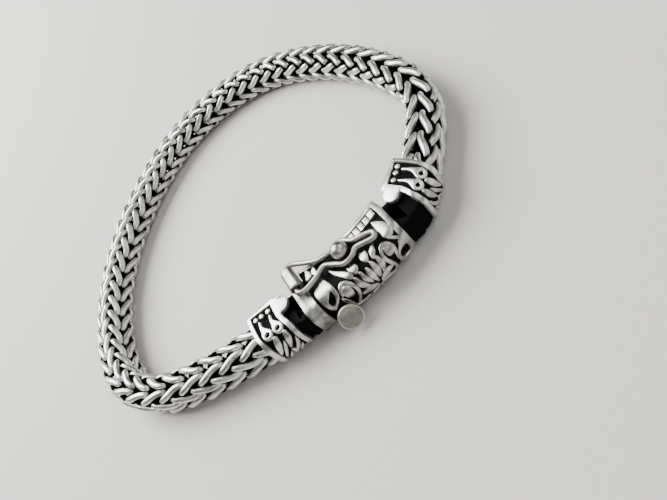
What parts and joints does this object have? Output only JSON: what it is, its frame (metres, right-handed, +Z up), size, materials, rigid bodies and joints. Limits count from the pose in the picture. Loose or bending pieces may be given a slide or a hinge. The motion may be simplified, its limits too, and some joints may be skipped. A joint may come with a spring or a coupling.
{
  "type": "woven chain bracelet",
  "caption": "Closed woven metal chain bracelet with ornamented end caps, a hinged box clasp, a spring tongue, a push button and a swinging figure of eight safety latch.",
  "frame": {"origin": "middle of the bounding box in plan, on the floor that the bracelet lies on", "axes": "+Z up from the floor through the loop, +X along the loop's longest way, clasp towards -Y"},
  "size_m": [0.0754, 0.0732, 0.0091],
  "materials": {
    "chain": "oxidised silver, polished on the high spots",
    "ornament": "cast silver with a blackened ground",
    "hinge": "blackened silver",
    "tongue": "plain worn silver",
    "latch": "polished silver wire",
    "button": "polished silver"
  },
  "bodies": {
    "bracelet": {"chain_left": "chain", "chain_right": "chain", "cap_left": "ornament", "cap_right": "ornament", "pin_left": "hinge", "pin_right": "hinge", "clasp_box": "ornament", "tongue": "tongue"},
    "latch": {"safety_latch": "latch"},
    "button": {"push_button": "button"}
  },
  "joints": [
    {"name": "latch_swing", "type": "hinge", "parent": "bracelet", "child": "latch", "pos_m": [-0.00208, -0.02676, 0.00745], "axis": [-0.1392, -0.9903, 0], "range_deg": [0, 150]},
    {"name": "button_press", "type": "slide", "parent": "bracelet", "child": "button", "axis": [0.1392, 0.9903, 0], "range_m": [0, 0.00045], "stiffness_N_per_m": 200}
  ]
}
